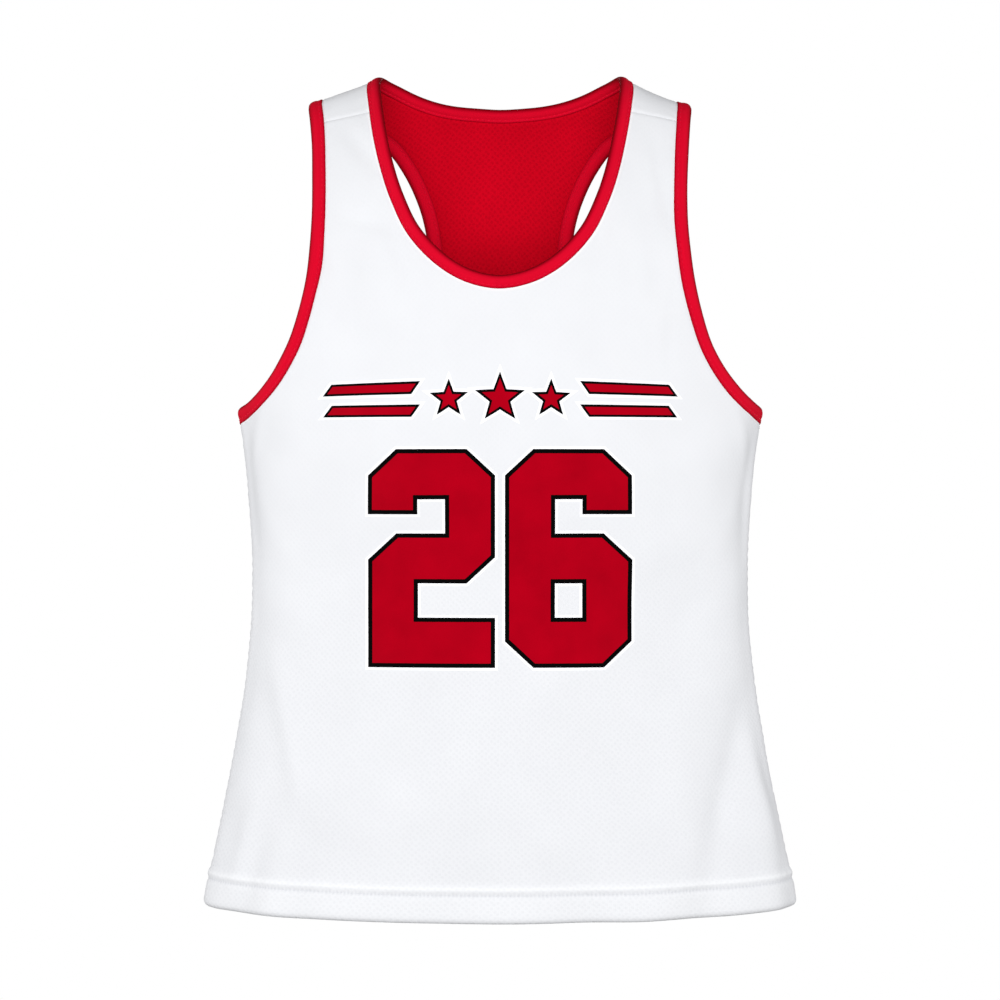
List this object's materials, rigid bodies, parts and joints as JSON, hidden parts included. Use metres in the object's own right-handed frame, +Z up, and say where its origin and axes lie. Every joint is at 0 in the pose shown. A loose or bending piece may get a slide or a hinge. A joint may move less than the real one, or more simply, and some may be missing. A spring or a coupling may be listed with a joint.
{
  "type": "reversible racerback lacrosse pinnie",
  "caption": "Sleeveless two-ply mesh jersey with a scoop neck, cut-in racer back, bound neck and armholes and a turned-up hem, filled out as worn.",
  "frame": {"origin": "midway between the two shoulders, level with the inner face of the cloth at the middle of the straps, where the wearer's shoulders hold the garment", "axes": "+Z up, -Y out of the garment's front, +X towards the wearer's left"},
  "size_m": [0.4775, 0.1969, 0.6732],
  "materials": {
    "white_knit": "matt mesh knit",
    "red_knit": "matt mesh knit",
    "red_binding": "smooth tricot with a soft sheen"
  },
  "bodies": {
    "root": {"front_outer": "white_knit", "back_outer": "white_knit", "front_inner": "red_knit", "back_inner": "red_knit", "neck_binding": "red_binding", "armhole_binding_left": "red_binding", "armhole_binding_right": "red_binding"}
  },
  "joints": []
}
